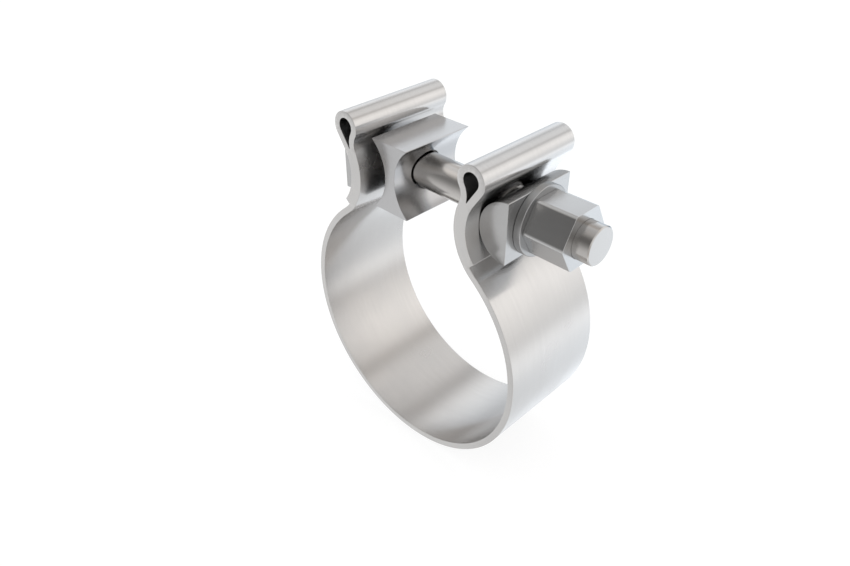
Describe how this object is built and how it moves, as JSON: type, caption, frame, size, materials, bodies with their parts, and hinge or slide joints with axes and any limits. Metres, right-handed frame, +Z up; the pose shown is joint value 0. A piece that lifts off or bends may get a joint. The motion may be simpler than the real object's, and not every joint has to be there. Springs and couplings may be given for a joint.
{
  "type": "exhaust clamp",
  "caption": "Exhaust band clamp: a folded strip forms a ring with looped ears, drawn together by a bolt and nut through half-round bars, with a hollowed spacer loose on the bolt.",
  "frame": {"origin": "on the pipe's axis, at the middle of the band's width", "axes": "+Y along the pipe, +X along the bolt towards the nut, +Z up through the ears"},
  "size_m": [0.0812, 0.0318, 0.0926],
  "materials": {
    "band_steel": "bright rolled stainless strip",
    "bar_steel": "drawn bar, satin",
    "spacer_steel": "drawn section, satin",
    "bolt_steel": "smooth, bright plated",
    "washer_steel": "stamped, satin",
    "nut_steel": "smooth, bright plated"
  },
  "bodies": {
    "clamp": {"band": "band_steel", "head_side_bar": "bar_steel", "nut_side_bar": "bar_steel", "bolt": "bolt_steel"},
    "spacer": {"spacer": "spacer_steel"},
    "washer": {"washer": "washer_steel"},
    "nut": {"nut": "nut_steel"}
  },
  "joints": [
    {"name": "spacer_slide", "type": "slide", "parent": "clamp", "child": "spacer", "axis": [1, 0, 0], "range_m": [-0.0007, 0.0214]},
    {"name": "nut_travel", "type": "slide", "parent": "clamp", "child": "washer", "axis": [1, 0, 0], "range_m": [0, 0.00435]},
    {"name": "nut_spin", "type": "hinge", "parent": "washer", "child": "nut", "pos_m": [0.03476, 0, 0.0395], "axis": [1, 0, 0], "range_deg": [0, 980]}
  ],
  "couplings": [
    {"joint": "nut_travel", "follows": "nut_spin", "m_per_rad": 0.00025266}
  ]
}
